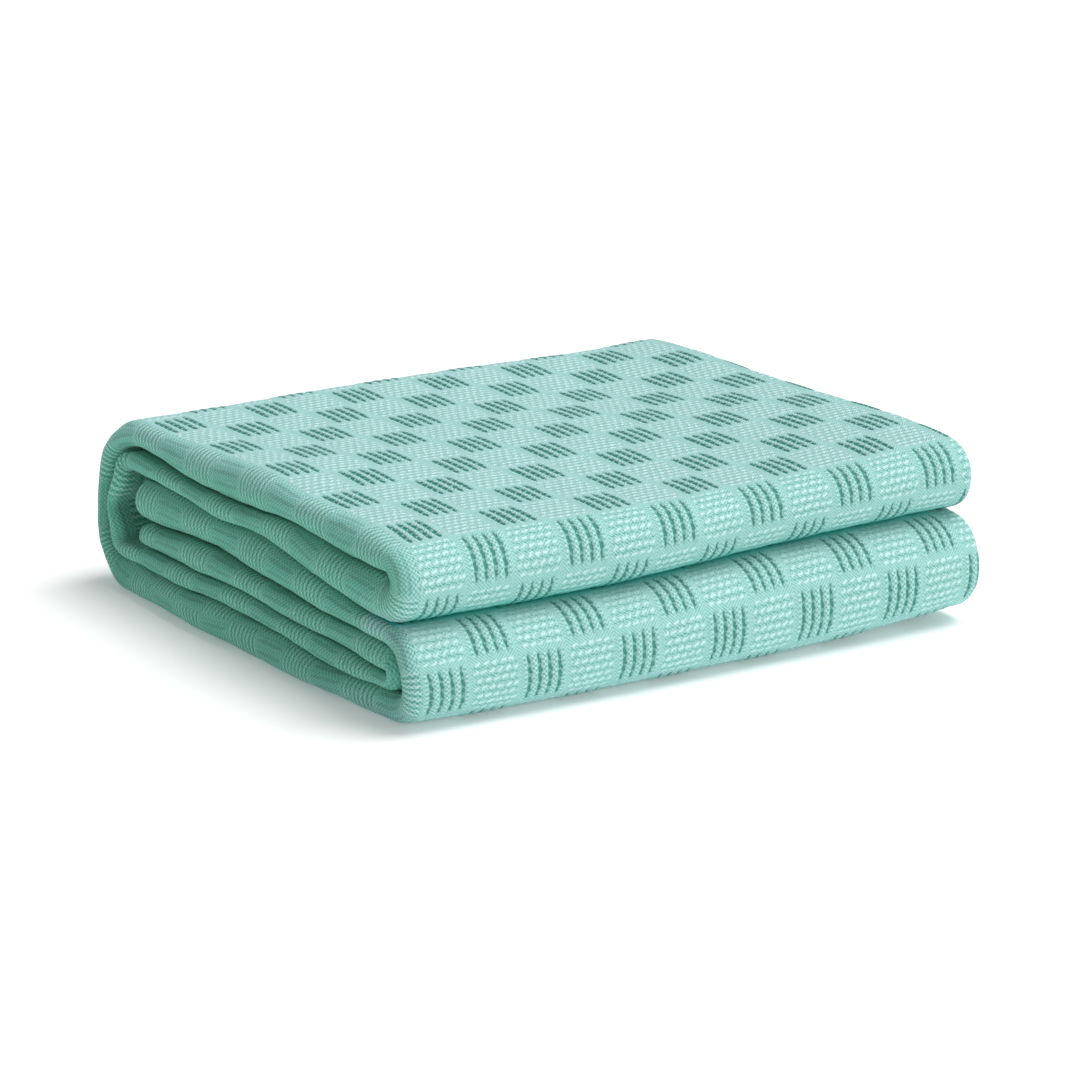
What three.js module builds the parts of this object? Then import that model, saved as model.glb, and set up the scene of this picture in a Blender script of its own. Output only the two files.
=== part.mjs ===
import * as THREE from 'three';

// A gauze blanket, folded into a stack and lying on a flat surface. Millimetres, +Z up, front at -Y.
// The cloth is folded in half twice across its width, which makes a strip of four plies. The strip is
// then folded to and fro into six runs, one above the other. It is one cloth, so it is one solid.

// Driving dimensions
const CLOTH = 1.8;                // thickness of the gauze itself
const STACK_WIDTH = 350;          // across the stack, between the folds at its left and right ends
const STACK_HEIGHT = 93;          // from the surface to the top run
const PLY_GAPS = 3;               // gaps between the four plies of the strip
const NEST = 2;                   // how far the inner left fold stays behind the outer one
const HEM_BACK = 5;               // how far the free side hems stop short of the right fold
const HEM_ROUND = 0.35 * CLOTH;   // how far a cut edge is rounded out

// Steps of the mesh
const PLY_STEPS = 5;              // along each straight ply, from left to right
const OUTER_STEPS = 6;            // round the outer left fold
const INNER_STEPS = 4;            // round the inner left fold and the right fold
const RUN_STEPS = 6;              // along each run, from front to back

// The six runs, in the order in which the cloth passes through them. under: height of a run's
// underside, thick: thickness of its four plies, left and right: how far its end folds stand past the
// stack's width. Each has five values, evenly spaced from TABLE_BACK to TABLE_FRONT.
const TABLE_BACK = 125;
const TABLE_FRONT = -152;
const RUNS = [
  {
    name: 'fourth',
    under: [43.3, 43.6, 43.2, 39.8, 41.2],
    thick: [21.4, 20.0, 17.0, 15.8, 9.2],
    left: [0, 1, 1, 2, 2],
    right: [-8, -6, -4, -5, -8],
  },
  {
    name: 'bottom',
    under: [0.0, 0.0, 0.0, 0.0, 0.0],
    thick: [17.0, 19.5, 18.0, 16.5, 16.0],
    left: [5, 9, 8, 6, 2],
    right: [-6, -5, -5, -6, -9],
  },
  {
    name: 'top',
    under: [78.4, 74.7, 73.2, 75.0, 76.0],
    thick: [16.5, 18.3, 19.5, 16.3, 13.5],
    left: [-4, -2, -1, 0, 2],
    right: [-7, -6, -5, -5, -6.5],
  },
  {
    name: 'second',
    under: [66.5, 64.5, 61.0, 56.5, 51.2],
    thick: [9.2, 9.2, 11.4, 17.7, 22.0],
    left: [-2, -1, 0, 2, 3],
    right: [-8, -6, -5, -5, -7],
  },
  {
    name: 'fifth',
    under: [17.8, 20.3, 18.8, 17.3, 16.8],
    thick: [9.2, 9.2, 11.0, 10.0, 9.8],
    left: [6, 5, 5, 4, 3],
    right: [-6, -5, -5, -6, -8],
  },
  {
    name: 'third',
    under: [27.8, 30.3, 30.6, 28.1, 27.4],
    thick: [14.7, 12.5, 11.8, 10.9, 12.6],
    left: [2, 4, 4, 3, 2],
    right: [-4, -4, -5, -6, -9],
  },
];

// The five folds between the runs. turn and again: where the run above or before starts to bend and
// where the next one ends to, reach: how far the middle of the strip goes past them, square: 2 is a
// round bend and more is a boxier one, sag: how far the bend hangs down, lean: how much further out it
// stands at its foot than at its middle, pinch: how much thinner the strip gets halfway
// round, steps: mesh steps round it.
const FOLDS = [
  {
    name: 'lower front, outer', turn: -152.7, again: -152.7, reach: 23, square: 2.4, sag: 1, lean: 0, pinch: 0, steps: 7,
  },
  {
    name: 'back, outer', turn: 128, again: 128, reach: 34, square: 2.3, sag: 2.5, lean: 0, pinch: 7, steps: 9,
  },
  {
    name: 'upper front', turn: -151.5, again: -151.5, reach: 12.5, square: 2, sag: 0, lean: 0, pinch: 2, steps: 6,
  },
  {
    name: 'back, inner', turn: 134, again: 128, reach: 16, square: 2.3, sag: 0, lean: 3, pinch: 0, steps: 8,
  },
  {
    name: 'lower front, inner', turn: -154.5, again: -154.5, reach: 6.8, square: 2, sag: 0, lean: 0, pinch: 1.5, steps: 5,
  },
];
const FIRST_END = 115.7;          // where the fourth run's hem lies, near the back
const LAST_END = 108;             // where the third run's hem lies

// A smooth curve through evenly spaced values, at part 0 to 1 of the way along them.
function curveThrough(values, part) {
  const spans = values.length - 1;
  const span = Math.min(spans - 1, Math.floor(part * spans));
  const t = part * spans - span;
  const slopeAt = (place) => (
    (values[Math.min(spans, place + 1)] - values[Math.max(0, place - 1)])
    / (Math.min(spans, place + 1) - Math.max(0, place - 1))
  );
  const [from, to] = [values[span], values[span + 1]];
  return from + (to - from) * t * t * (3 - 2 * t)
    + slopeAt(span) * t * (1 - t) * (1 - t) - slopeAt(span + 1) * t * t * (1 - t);
}

// Stations of the strip's middle line: y, z, thickness, the places of the end folds, and the way the
// strip goes there. A run's plies lie level, and round a fold they follow the bend.
function layRun(run, backEnd, frontEnd, towardsFront) {
  const stations = [];
  for (let step = 0; step <= RUN_STEPS; step += 1) {
    const y = towardsFront
      ? backEnd + ((frontEnd - backEnd) * step) / RUN_STEPS
      : frontEnd + ((backEnd - frontEnd) * step) / RUN_STEPS;
    const part = (TABLE_BACK - y) / (TABLE_BACK - TABLE_FRONT);
    const at = (column) => curveThrough(run[column], Math.min(1, Math.max(0, part)));
    stations.push({
      y,
      z: at('under') + at('thick') / 2,
      thick: at('thick'),
      left: at('left'),
      right: at('right'),
      along: new THREE.Vector2(towardsFront ? -1 : 1, 0),
    });
  }
  return stations;
}

function layFold(fold, from, to) {
  const outwards = Math.sign(fold.turn);
  const middle = (from.z + to.z) / 2;
  const half = (from.z - to.z) / 2;
  const power = 2 / fold.square;
  const between = (column, part) => from[column] + (to[column] - from[column]) * part;
  const places = [];
  for (let step = 0; step <= fold.steps; step += 1) {
    const part = step / fold.steps;
    const angle = Math.PI * (0.5 - part);
    const out = Math.max(0, Math.cos(angle)) ** power;
    const rise = Math.sign(angle) * Math.abs(Math.sin(angle)) ** power;
    places.push({
      y: between('y', part) + outwards * (fold.reach - fold.lean * Math.sign(half) * rise) * out,
      z: middle + half * rise - fold.sag * out,
      thick: between('thick', part) - fold.pinch * out,
      left: between('left', part),
      right: between('right', part),
    });
  }
  return places.slice(1, -1).map((place, index) => {
    const [before, after] = [places[index], places[index + 2]];
    return { ...place, along: new THREE.Vector2(after.y - before.y, after.z - before.z).normalize() };
  });
}

function layStrip() {
  const runs = RUNS.map((run, index) => {
    const towardsFront = index % 2 === 0;
    const before = index > 0 ? FOLDS[index - 1].again : FIRST_END;
    const after = index < FOLDS.length ? FOLDS[index].turn : LAST_END;
    return towardsFront
      ? layRun(run, before, after, true)
      : layRun(run, after, before, false);
  });
  const stations = [...runs[0]];
  FOLDS.forEach((fold, index) => {
    stations.push(...layFold(fold, runs[index].at(-1), runs[index + 1][0]), ...runs[index + 1]);
  });
  return stations;
}

// Soft humps and hollows where the plies don't lie flat. x, y: place, reach: how far it spreads,
// rise: height at the top of the stack. The underside stays flat on the surface.
const HUMPS = [
  { x: 165, y: -125, reach: 75, rise: 6.0 },
  { x: -170, y: -30, reach: 60, rise: 3.5 },
  { x: 100, y: 50, reach: 60, rise: -2.5 },
  { x: 140, y: 160, reach: 60, rise: -2.5 },
  { x: -130, y: 165, reach: 60, rise: -1.5 },
  { x: 0, y: -110, reach: 70, rise: -1.5 },
];
const FRONT_EDGE = -60;           // the front folds' own unevenness starts about here
const FRONT_EASE = 50;            // and comes in over this length
const CREASE_TILT = 1.5;          // rise of the crease between the front folds from the middle to the right
const CREASE_ARCH = 2;            // how far that crease is arched up in the middle
const CREASE_SWAY = 2.2;          // how far it dips halfway to the left and rises halfway to the right
const BELLY = 3;                  // how far the lower front fold swells out in the middle
const CORNER = 4;                 // how far the front folds are drawn in at the left and right ends
const CORNER_SHARPNESS = 6;       // the higher, the closer to the ends that begins
const FRONT_WAVE = 1.2;           // how far the front folds wander in and out
const FRONT_WAVE_LENGTH = 150;

function settle(x, y, z) {
  const level = z / STACK_HEIGHT;
  const across = (2 * x) / STACK_WIDTH;
  let lift = 0;
  for (const hump of HUMPS) {
    const away = ((x - hump.x) ** 2 + (y - hump.y) ** 2) / hump.reach ** 2;
    lift += hump.rise * Math.exp(-away);
  }
  const nearFront = 0.5 - 0.5 * Math.tanh((y - FRONT_EDGE) / FRONT_EASE);
  const midHeight = Math.sin(Math.PI * Math.min(1, Math.max(0, level)));
  const sway = CREASE_SWAY * Math.sin(Math.PI * across);
  const crease = (CREASE_TILT * across + CREASE_ARCH * (1 - across ** 2) + sway) * midHeight;
  const swell = BELLY * (1 - level) * (1 - across ** 2);
  const drawn = CORNER * (1 - level) * Math.min(1, across ** CORNER_SHARPNESS);
  const wave = FRONT_WAVE * level * Math.sin((2 * Math.PI * x) / FRONT_WAVE_LENGTH);
  return new THREE.Vector3(x, y + nearFront * (drawn + wave - swell), z + level * lift + nearFront * crease);
}

// The middle line of the cloth across the strip, from the hem of the fourth ply to the hem of the
// third. Each point has its place (x across, o through the strip) and the cloth's own normal there.
function plyLine({ thick, left, right }) {
  const pitch = (thick - CLOTH) / PLY_GAPS;
  const [first, second, third, fourth] = [1.5, 0.5, -0.5, -1.5].map((place) => place * pitch);
  const outerLeft = -STACK_WIDTH / 2 - left + 1.5 * pitch + CLOTH / 2;
  const innerLeft = outerLeft + NEST;
  const rightFold = STACK_WIDTH / 2 + right - 0.5 * pitch - CLOTH / 2;
  const hem = rightFold - HEM_BACK;
  const line = [];
  const addStraight = (from, to, o, facing) => {
    for (let step = 0; step <= PLY_STEPS; step += 1) {
      line.push({ x: from + ((to - from) * step) / PLY_STEPS, o, nx: 0, no: facing });
    }
  };
  const addArc = (x, o, radius, from, to, steps, facing) => {
    for (let step = 1; step < steps; step += 1) {
      const angle = from + ((to - from) * step) / steps;
      const across = Math.cos(angle);
      const through = Math.sin(angle);
      line.push({ x: x + radius * across, o: o + radius * through, nx: facing * across, no: facing * through });
    }
  };
  const up = Math.PI / 2;
  addStraight(hem, outerLeft, fourth, -1);
  addArc(outerLeft, 0, 1.5 * pitch, 3 * up, up, OUTER_STEPS, 1);
  addStraight(outerLeft, rightFold, first, 1);
  addArc(rightFold, (first + second) / 2, 0.5 * pitch, up, -up, INNER_STEPS, 1);
  addStraight(rightFold, innerLeft, second, -1);
  addArc(innerLeft, 0, 0.5 * pitch, up, 3 * up, INNER_STEPS, -1);
  addStraight(innerLeft, hem, third, 1);
  return line;
}

// The closed outline of the cloth across the strip: one face of the cloth, its hem, the other face
// and the other hem.
function outlineOf(station) {
  const line = plyLine(station);
  const face = (side) => line.map(({ x, o, nx, no }) => (
    { x: x + (side * nx * CLOTH) / 2, o: o + (side * no * CLOTH) / 2 }
  ));
  const hemAt = ({ x, o }) => ({ x: x + HEM_ROUND, o });
  return [...face(1), hemAt(line.at(-1)), ...face(-1).reverse(), hemAt(line[0])];
}

function blanketGeometry() {
  const stations = layStrip();
  const rings = stations.map((station) => outlineOf(station).map(({ x, o }) => (
    settle(x, station.y + o * station.along.y, station.z - o * station.along.x)
  )));
  const count = rings[0].length;
  const triangles = [];
  for (let ring = 0; ring + 1 < rings.length; ring += 1) {
    for (let place = 0; place < count; place += 1) {
      const next = (place + 1) % count;
      const [a, b] = [ring * count + place, ring * count + next];
      triangles.push(a, b + count, b, a, a + count, b + count);
    }
  }
  // Each end of the strip is closed by a narrow band between the two faces of the cloth.
  const last = (count - 2) / 2;
  const closeEnd = (ring, towardsFirst) => {
    const start = ring * count;
    const addTriangle = (p, q, r) => {
      triangles.push(start + p, ...(towardsFirst ? [start + r, start + q] : [start + q, start + r]));
    };
    for (let place = 0; place + 1 < last; place += 1) {
      const [across, next] = [2 * last - place, 2 * last - place - 1];
      addTriangle(place, next, place + 1);
      addTriangle(place, across, next);
    }
    addTriangle(last - 1, last + 1, last);
    addTriangle(2 * last, 0, 2 * last + 1);
  };
  closeEnd(0, true);
  closeEnd(rings.length - 1, false);
  const geometry = new THREE.BufferGeometry();
  geometry.setAttribute('position', new THREE.Float32BufferAttribute(rings.flat().flatMap((p) => p.toArray()), 3));
  geometry.setIndex(triangles);
  geometry.computeBoundingBox();
  const middle = geometry.boundingBox.getCenter(new THREE.Vector3());
  geometry.translate(-middle.x, -middle.y, 0);
  geometry.computeVertexNormals();
  return geometry;
}

const gauze = new THREE.MeshStandardMaterial({ color: 0x9fd9d0, roughness: 0.95, metalness: 0 });
const blanket = new THREE.Mesh(blanketGeometry(), gauze);
blanket.name = 'blanket';

const stack = new THREE.Group();
stack.add(blanket);
export default stack;
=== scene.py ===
# %% [markdown]
# # A folded gauze blanket
# The real thing is one large cotton cloth. It has been folded in half twice across its width, and the
# strip of four plies that this gives has been folded to and fro into a thick stack. What you notice
# first are the check weave and the two fat rounded folds at the front.
# We could drop a flat cloth in a simulation and fold it, but a cloth folded this neatly follows a few
# smooth lines. So we lay those lines out from small tables and stretch one fine net over them.

# %% Load the frame
import math
import bpy
import numpy as np
from mathutils import Matrix, Vector


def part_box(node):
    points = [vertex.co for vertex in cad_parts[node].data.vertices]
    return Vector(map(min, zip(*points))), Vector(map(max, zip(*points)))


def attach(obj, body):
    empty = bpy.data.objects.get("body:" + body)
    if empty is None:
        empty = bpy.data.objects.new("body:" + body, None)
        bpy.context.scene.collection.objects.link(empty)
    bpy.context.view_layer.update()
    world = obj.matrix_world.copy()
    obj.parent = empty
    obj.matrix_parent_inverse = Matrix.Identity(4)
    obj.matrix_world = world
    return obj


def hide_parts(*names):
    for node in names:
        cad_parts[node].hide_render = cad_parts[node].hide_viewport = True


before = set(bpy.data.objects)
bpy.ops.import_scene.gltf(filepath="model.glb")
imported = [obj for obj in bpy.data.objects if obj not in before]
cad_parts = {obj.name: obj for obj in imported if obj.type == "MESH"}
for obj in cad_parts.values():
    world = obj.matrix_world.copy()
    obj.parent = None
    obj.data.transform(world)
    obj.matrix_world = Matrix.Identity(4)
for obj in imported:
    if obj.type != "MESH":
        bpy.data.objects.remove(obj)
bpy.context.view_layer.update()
low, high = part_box("blanket")
print("the stack of plies measures", [round(b - a, 4) for a, b in zip(low, high)], "m")

# %% [markdown]
# ## Where we look from
# A catalogue picture of bedding is taken with a long lens, so that the far edge of the stack is hardly
# smaller than the near one. We put the camera about two metres away, a little above the stack, and turn
# it by three directions: what is right, what is up and what is towards us.

# %% Camera
EYE = Vector((-1.1228, -1.8317, 0.6297))
TO_THE_RIGHT = Vector((0.84877, -0.52860, -0.01312))
UPWARDS = Vector((0.15219, 0.22046, 0.96345))
LENS_MM = 139.17

camera_data = bpy.data.cameras.new("long_lens")
camera_data.lens = LENS_MM
camera_data.sensor_width = 36.0
camera_data.clip_end = 50.0
camera = bpy.data.objects.new("camera", camera_data)
bpy.context.scene.collection.objects.link(camera)
towards_us = TO_THE_RIGHT.cross(UPWARDS).normalized()
up = towards_us.cross(TO_THE_RIGHT).normalized()
turn = Matrix((TO_THE_RIGHT.normalized(), up, towards_us)).transposed().to_4x4()
camera.matrix_world = Matrix.Translation(EYE) @ turn
bpy.context.scene.camera = camera
print("camera is", round(EYE.length, 2), "m from the middle of the stack")

# %% [markdown]
# ## The six runs of the strip
# Seen from its left end the stack shows six rolls, one above the other. Each is a run of the folded
# strip. For each run we note, from the back to the front, how high its underside lies, how thick its
# four plies are, and how far its two end folds stand out. All of this is in millimetres, because that
# is how one measures a blanket. The order is the order in which the cloth passes through them.
# A fold has a reach, which is how far it stands out, and a square, which is how boxy it is. It can also sag
# towards the floor, lean over, and pinch the strip a little thinner.

# %% Tables of the folds
CLOTH = 1.8                          # thickness of one ply
WIDTH = 350.0                        # of the stack
HEIGHT = 93.0
PLY_GAPS = 3                         # between the four plies of the strip
NEST = 2.0                           # how far the inner bend stays inside the outer one
HEM_BACK = 5.0                       # how far the two hems stay inside the right end
TABLE_BACK = 125.0                   # the y at which the rows of numbers below begin
TABLE_FRONT = -152.0                 # and end

RUNS = [
    dict(name="fourth", under=[43.3, 43.6, 43.2, 39.8, 41.2], thick=[21.4, 20.0, 17.0, 15.8, 9.2],
         left=[0, 1, 1, 2, 2], right=[-8, -6, -4, -5, -8]),
    dict(name="bottom", under=[0, 0, 0, 0, 0], thick=[17.0, 19.5, 18.0, 16.5, 16.0],
         left=[5, 9, 8, 6, 2], right=[-6, -5, -5, -6, -9]),
    dict(name="top", under=[78.4, 74.7, 73.2, 75.0, 76.0], thick=[16.5, 18.3, 19.5, 16.3, 13.5],
         left=[-4, -2, -1, 0, 2], right=[-7, -6, -5, -5, -6.5]),
    dict(name="second", under=[66.5, 64.5, 61.0, 56.5, 51.2], thick=[9.2, 9.2, 11.4, 17.7, 22.0],
         left=[-2, -1, 0, 2, 3], right=[-8, -6, -5, -5, -7]),
    dict(name="fifth", under=[17.8, 20.3, 18.8, 17.3, 16.8], thick=[9.2, 9.2, 11.0, 10.0, 9.8],
         left=[6, 5, 5, 4, 3], right=[-6, -5, -5, -6, -8]),
    dict(name="third", under=[27.8, 30.3, 30.6, 28.1, 27.4], thick=[14.7, 12.5, 11.8, 10.9, 12.6],
         left=[2, 4, 4, 3, 2], right=[-4, -4, -5, -6, -9]),
]
FOLDS = [
    dict(name="lower front, outer", end=-152.7, start=-152.7, reach=23, square=2.4, sag=1, lean=0, pinch=0),
    dict(name="back, outer", end=128, start=128, reach=34, square=2.3, sag=2.5, lean=0, pinch=7),
    dict(name="upper front", end=-151.5, start=-151.5, reach=12.5, square=2, sag=0, lean=0, pinch=2),
    dict(name="back, inner", end=134, start=128, reach=16, square=2.3, sag=0, lean=3, pinch=0),
    dict(name="lower front, inner", end=-154.5, start=-154.5, reach=6.8, square=2, sag=0, lean=0, pinch=1.5),
]
FIRST_END = 115.7                    # the y at which the strip begins
LAST_END = 108.0                     # and ends
print(len(RUNS), "runs joined by", len(FOLDS), "folds")

# %% [markdown]
# ## One line for the whole strip
# If you pull one thread out of the strip, it goes forward through a run, round a fold, and back through
# the next run. We draw that line first, very finely. Every point of it also knows how thick the strip
# is there and which way it is going. The fold's outline is a superellipse: a square of 2 makes it round,
# and a little more makes it as boxy as a padded fold really is.

# %% Runs and folds as one line
KEYS = ("y", "z", "thick", "left", "right", "go_y", "go_z")
POINTS_A_RUN = 600
POINTS_A_FOLD = 400


def through(values, part):
    """A smooth curve through evenly spaced values."""
    values = np.asarray(values, float)
    spans = len(values) - 1
    part = np.clip(part, 0, 1)
    span = np.minimum(spans - 1, np.floor(part * spans).astype(int))
    t = part * spans - span
    slope = np.gradient(values)
    start, end = values[span], values[span + 1]
    smooth = start + (end - start) * t * t * (3 - 2 * t)
    return smooth + slope[span] * t * (1 - t) ** 2 - slope[span + 1] * t * t * (1 - t)


def lay_run(run, start, end):
    y = np.linspace(start, end, POINTS_A_RUN)
    part = (TABLE_BACK - y) / (TABLE_BACK - TABLE_FRONT)
    thick = through(run["thick"], part)
    return dict(
        y=y, z=through(run["under"], part) + thick / 2, thick=thick,
        left=through(run["left"], part), right=through(run["right"], part),
        go_y=np.full(len(y), math.copysign(1.0, end - start)), go_z=np.zeros(len(y)),
    )


def lay_fold(fold, before, after):
    part = np.linspace(0, 1, POINTS_A_FOLD)
    angle = math.pi * (0.5 - part)
    power = 2 / fold["square"]
    out = np.maximum(0, np.cos(angle)) ** power
    rise = np.sign(angle) * np.abs(np.sin(angle)) ** power
    half = (before["z"][-1] - after["z"][0]) / 2
    middle = (before["z"][-1] + after["z"][0]) / 2
    line = {key: before[key][-1] + (after[key][0] - before[key][-1]) * part for key in KEYS}
    outwards = math.copysign(1.0, fold["end"])
    line["y"] = line["y"] + outwards * (fold["reach"] - fold["lean"] * np.sign(half) * rise) * out
    line["z"] = middle + half * rise - fold["sag"] * out
    line["thick"] = line["thick"] - fold["pinch"] * out
    go = np.stack([np.gradient(line["y"]), np.gradient(line["z"])])
    line["go_y"], line["go_z"] = go / np.linalg.norm(go, axis=0)
    return {key: value[1:-1] for key, value in line.items()}


starts = [FIRST_END] + [fold["start"] for fold in FOLDS]
ends = [fold["end"] for fold in FOLDS] + [LAST_END]
runs = [lay_run(*run) for run in zip(RUNS, starts, ends)]
pieces = [runs[0]]
names = [RUNS[0]["name"]]
for fold, before, after, run in zip(FOLDS, runs, runs[1:], RUNS[1:]):
    pieces += [lay_fold(fold, before, after), after]
    names += [fold["name"], run["name"]]
strip = {key: np.concatenate([piece[key] for piece in pieces]) for key in KEYS}
piece_of = np.concatenate([np.full(len(piece["y"]), place) for place, piece in enumerate(pieces)])
print("the strip's line has", len(strip["y"]), "points")

# %% [markdown]
# ## Length along the cloth
# The weave has to follow the cloth, so every point needs to know how far along the cloth it lies. Round
# the three folds that we see we measure along the outermost face, where the pattern shows. The zero is
# the middle of the front row of checks on the top.

# %% Measure the length
CHECK_ACROSS = 27.145                # one check of the weave, from left to right
CHECK_ALONG = 30.93                  # and along the strip
FRONT_CHECK_Y = -139.04              # middle of the front row of checks on the top, in the tables' y
LEFT_CHECK_X = -150.58               # middle of the leftmost column of checks, in the tables' x
HIDDEN_EXTRA = 18.0                  # mm of cloth
SHOWN_FOLDS = ("lower front, outer", "back, outer", "upper front")

shown = np.isin(piece_of, [names.index(name) for name in SHOWN_FOLDS])
face_y = strip["y"] + strip["thick"] / 2 * strip["go_z"]
face_z = strip["z"] - strip["thick"] / 2 * strip["go_y"]
along_face = np.hypot(np.diff(face_y), np.diff(face_z))
along_middle = np.hypot(np.diff(strip["y"]), np.diff(strip["z"]))
in_run = piece_of[:-1] % 2 == 0
steps = np.where(in_run, np.abs(np.diff(strip["y"])), along_middle)
steps = np.where(shown[1:] | shown[:-1], along_face, steps)
in_bottom = piece_of[:-1] == names.index("bottom")
steps = steps + in_bottom * HIDDEN_EXTRA / in_bottom.sum()
length = np.concatenate([[0], np.cumsum(steps)])
on_top = piece_of == names.index("top")
zero = np.interp(-FRONT_CHECK_Y, -strip["y"][on_top], length[on_top])
length = length - zero
print("the strip is", round(float(length[-1] - length[0]) / 1000, 3), "m long when it is pulled straight")

# %% [markdown]
# ## Skew
# So the threads drift sideways along the strip.

# %% Sideways drift of the threads
DRIFT_PLACES = (-25, -21, -16, -8, 0, 1.5, 8)       # in checks along the cloth
DRIFTS = (7.4, 7.0, 2.0, 0.0, 0.5, 3.0, 3.0)        # in mm


def drift_at(place):
    return float(np.interp(place / CHECK_ALONG, DRIFT_PLACES, DRIFTS))


print("the threads drift by", drift_at(length[0]) - drift_at(0.0), "mm on the lower fold")

# %% [markdown]
# ## Rows and columns of the net
# A net that is fine enough for every slit of the weave is only needed where the cloth shows. So the rows
# lie close together on the top, round the shown folds and just inside them, and further apart in the
# hidden runs. The columns stand at equal steps across the cloth: they follow its threads, also round the
# rolls at the left end. Nearly five columns make one slit and one rib.

# %% Choose rows and columns
ROWS_A_CHECK = 16                    # finest rows in one check
COLUMNS_A_CHECK = 19
TURNED_IN = 22.0                     # how far the fine net goes on inside a shown fold
TURNED_UNDER = 12.0
row_step = CHECK_ALONG / ROWS_A_CHECK
column_step = CHECK_ACROSS / COLUMNS_A_CHECK


def length_at(name, y):
    """How far along the cloth a run is at this y."""
    here = piece_of == names.index(name)
    order = np.argsort(strip["y"][here])
    return float(np.interp(y, strip["y"][here][order], length[here][order]))


zone_ends = [
    length_at("fourth", FOLDS[0]["end"] + TURNED_IN),
    length_at("bottom", FOLDS[0]["start"] + TURNED_UNDER),
    length_at("bottom", FOLDS[1]["end"] - TURNED_UNDER),
    length_at("second", FOLDS[2]["start"] + TURNED_IN),
]
fine_zones = [zone_ends[:2], zone_ends[2:]]
tightest = piece_of == names.index("lower front, inner")
inner_back = piece_of == names.index("back, inner")
rows = []
for number in range(math.ceil(length[0] / row_step), math.floor(length[-1] / row_step) + 1):
    place = number * row_step
    fine = any(start <= place <= end for start, end in fine_zones)
    in_tightest = length[tightest][0] - row_step < place < length[tightest][-1] + row_step
    in_inner_back = length[inner_back][0] < place < length[inner_back][-1]
    every = 1 if in_tightest else 2 if fine or in_inner_back else 4
    if number % every == 0:
        rows.append((place, fine))
rows = [(length[0], False)] + rows + [(length[-1], False)]

LEFT_COLUMNS = range(-39, -3)        # columns round the rolls
MIDDLE_COLUMNS = range(-3, 213)      # across the top
RIGHT_COLUMNS = range(213, 237)      # round the right end
FIRST_COLUMN = LEFT_COLUMNS[0]
LAST_COLUMN = RIGHT_COLUMNS[-1] + 1
HIDDEN_STEPS = 6                     # steps across each ply that lies hidden in the strip
BEND_STEPS = 4
print(len(rows), "rows,", sum(fine for place, fine in rows), "of them fine")

# %% [markdown]
# ## From a place on the cloth to a place across the strip
# Cut the strip across and you see one line that turns three times: from the hem of the fourth ply round
# the big bend at the left to the first ply on the outside, round the right end to the second, and
# round a small bend inside the big one to the third. `width` is how far across the cloth we are, measured
# so that on the first ply it is simply x.

# %% Cross-section of the strip
def section_marks(thick, left, right):
    """Where the bends of one cross-section begin and end, in width across the cloth."""
    pitch = (thick - CLOTH) / PLY_GAPS
    outer_left = -WIDTH / 2 - left + 1.5 * pitch + CLOTH / 2
    inner_left = outer_left + NEST
    right_fold = WIDTH / 2 + right - 0.5 * pitch - CLOTH / 2
    hem = right_fold - HEM_BACK
    marks = [outer_left, right_fold]
    marks.insert(0, marks[0] - math.pi * thick / 2)
    marks.insert(0, marks[0] - (hem - outer_left))
    marks.append(marks[-1] + math.pi * (pitch + CLOTH) / 2)
    marks.append(marks[-1] + right_fold - inner_left)
    marks.append(marks[-1] + math.pi * pitch / 2)
    marks.append(marks[-1] + hem - inner_left)
    return pitch, outer_left, inner_left, right_fold, hem, marks


def bend(x, o, radius, angle, facing):
    across, through_strip = np.cos(angle), np.sin(angle)
    return x + radius * across, o + radius * through_strip, facing * across, facing * through_strip


def section_points(widths, pitch, outer_left, inner_left, right_fold, hem, marks):
    """x, o (height in the strip) and the direction of the cloth's outer face at each width."""
    piece = np.clip(np.searchsorted(marks, widths, side="right") - 1, 0, len(marks) - 2)
    start, end = np.take(marks, piece), np.take(marks, piece + 1)
    part = (widths - start) / (end - start)
    half_turn = math.pi * part
    zero = 0 * part
    quarter = math.pi / 2
    choices = [
        (hem + (outer_left - hem) * part, zero - 1.5 * pitch, zero, zero - 1),
        bend(outer_left, 0, 1.5 * pitch, 3 * quarter - half_turn, 1),
        (outer_left + (right_fold - outer_left) * part, zero + 1.5 * pitch, zero, zero + 1),
        bend(right_fold, pitch, 0.5 * pitch, quarter - half_turn, 1),
        (right_fold + (inner_left - right_fold) * part, zero + 0.5 * pitch, zero, zero - 1),
        bend(inner_left, 0, 0.5 * pitch, quarter + half_turn, -1),
        (inner_left + (hem - inner_left) * part, zero - 0.5 * pitch, zero, zero + 1),
    ]
    return [np.choose(piece, [choice[item] for choice in choices]) for item in range(4)]


top_run = RUNS[2]
front_marks = section_marks(*[top_run[key][-1] for key in ("thick", "left", "right")])[-1]
hem_to_hem = round(front_marks[-1] - front_marks[0], 1)
print("at its front the top run's cloth is", hem_to_hem, "mm from hem to hem")

# %% [markdown]
# ## The weave as real relief
# Every second check of the real cloth has four long open slits with ribs between them, and the checks
# between are closed and a little puffed up. The slits are deep enough to catch a shadow, so we press
# them into the net itself. Finer things, such as the stitches, come later in the material.

# %% Relief of the weave
SLIT_DEPTH = 0.65
RIB_HEIGHT = 0.35
PUFF_HEIGHT = 0.3
KNUCKLE_HEIGHT = 0.3                 # a closed check on a roll
SLITS = 4
SLIT_HALF = 0.25                     # half a slit, as a part of the way from one slit to the next
FADE = 8                             # the higher this is, the sooner a slit is deep
ROLL_EDGE = -0.5                     # checks left of this lie on the rolls, where the slits are pulled shut
PULLED_SHUT = 0.2                    # the part of a slit's depth that is left there


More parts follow.
